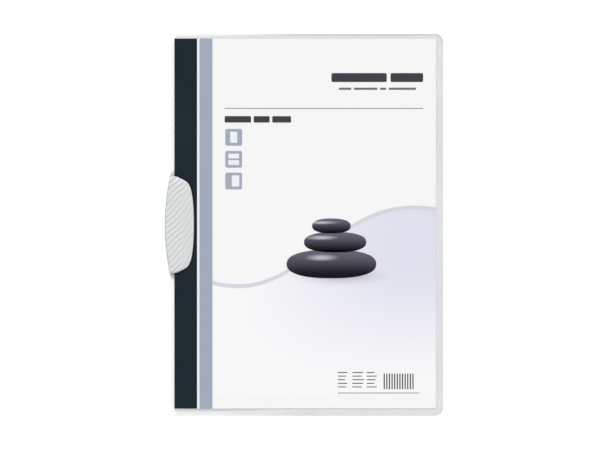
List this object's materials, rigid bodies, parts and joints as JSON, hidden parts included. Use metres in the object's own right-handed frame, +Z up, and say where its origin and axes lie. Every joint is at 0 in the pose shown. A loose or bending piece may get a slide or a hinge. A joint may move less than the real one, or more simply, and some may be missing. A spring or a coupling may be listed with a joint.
{
  "type": "clip folder",
  "caption": "Clear film folder for A4 sheets, folded at the spine, with a turning side clip that grips the sheets through a cut-out in the front cover.",
  "frame": {"origin": "on the table, under the middle of the object's outline in plan", "axes": "+X from the spine to the fore-edge, +Y up the page to its head, +Z up from the table"},
  "size_m": [0.2234, 0.3064, 0.0067],
  "materials": {
    "clear_film": "clear, fine grain",
    "paper": "uncoated printed paper",
    "clip_moulding": "light grey, satin moulded"
  },
  "bodies": {
    "folder": {"back_cover": "clear_film", "pivot_stud": "clip_moulding", "insert_sheet": "paper"},
    "clip": {"pivoting_clip": "clip_moulding"},
    "front": {"front_cover": "clear_film"}
  },
  "joints": [
    {"name": "clip_pivot", "type": "hinge", "parent": "folder", "child": "clip", "pos_m": [-0.10073, 0.0375, 0.001], "axis": [0, 0, -1], "range_deg": [0, 30]},
    {"name": "cover_fold", "type": "hinge", "parent": "folder", "child": "front", "pos_m": [-0.10643, 0, 0.00465], "axis": [0, -1, 0], "range_deg": [0, 168]}
  ]
}
